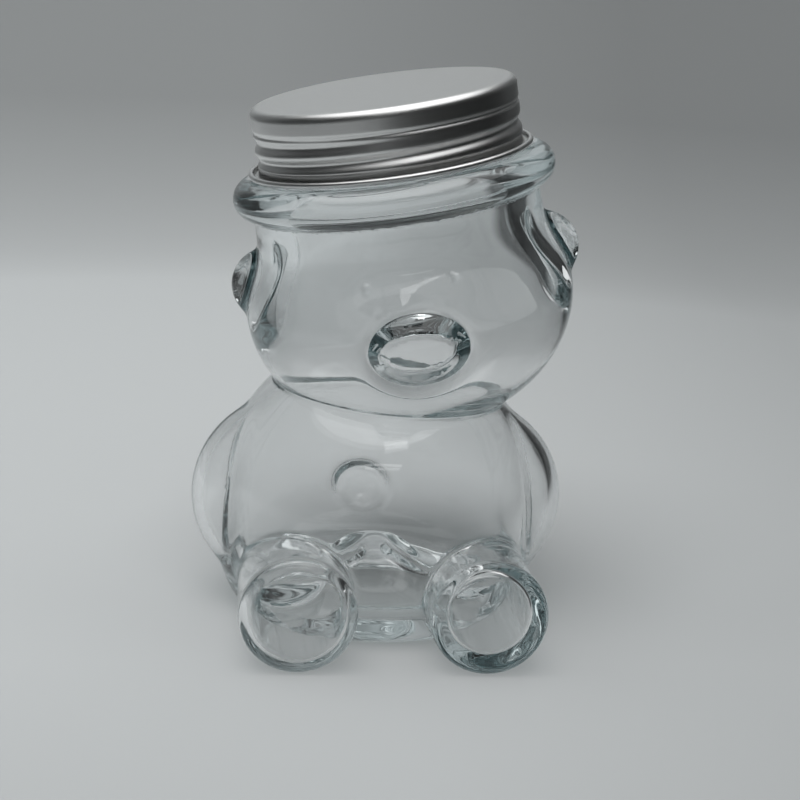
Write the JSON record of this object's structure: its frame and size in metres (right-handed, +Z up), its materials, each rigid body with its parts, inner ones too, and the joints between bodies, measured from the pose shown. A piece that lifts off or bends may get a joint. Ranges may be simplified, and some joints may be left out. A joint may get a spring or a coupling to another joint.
{
  "type": "honey bear bottle",
  "caption": "Clear glass honey jar shaped as a seated bear with a tilted head, closed by a satin aluminium screw lid with a foam liner.",
  "frame": {"origin": "on the table, under the middle of the whole jar's bounding box", "axes": "+Z up, the bear faces -Y, its left arm is at +X, and the head and lid lean towards -X"},
  "size_m": [0.0944, 0.0994, 0.1369],
  "materials": {
    "clear_glass": "polished",
    "lid_aluminium": "satin",
    "liner_foam": "matte"
  },
  "bodies": {
    "jar": {"glass_jar": "clear_glass"},
    "liner": {"lid_liner": "liner_foam"},
    "lid": {"lid_shell": "lid_aluminium"}
  },
  "joints": [
    {"name": "lid_lift", "type": "slide", "parent": "jar", "child": "liner", "axis": [-0.184, 0, 0.9829], "range_m": [0, 0.01693]},
    {"name": "lid_turn", "type": "hinge", "parent": "liner", "child": "lid", "pos_m": [0.0002, 0.0043, 0.1094], "axis": [-0.184, 0, 0.9829], "range_deg": [0, 1440]}
  ],
  "couplings": [
    {"joint": "lid_lift", "follows": "lid_turn", "m_per_rad": 0.00067322}
  ]
}
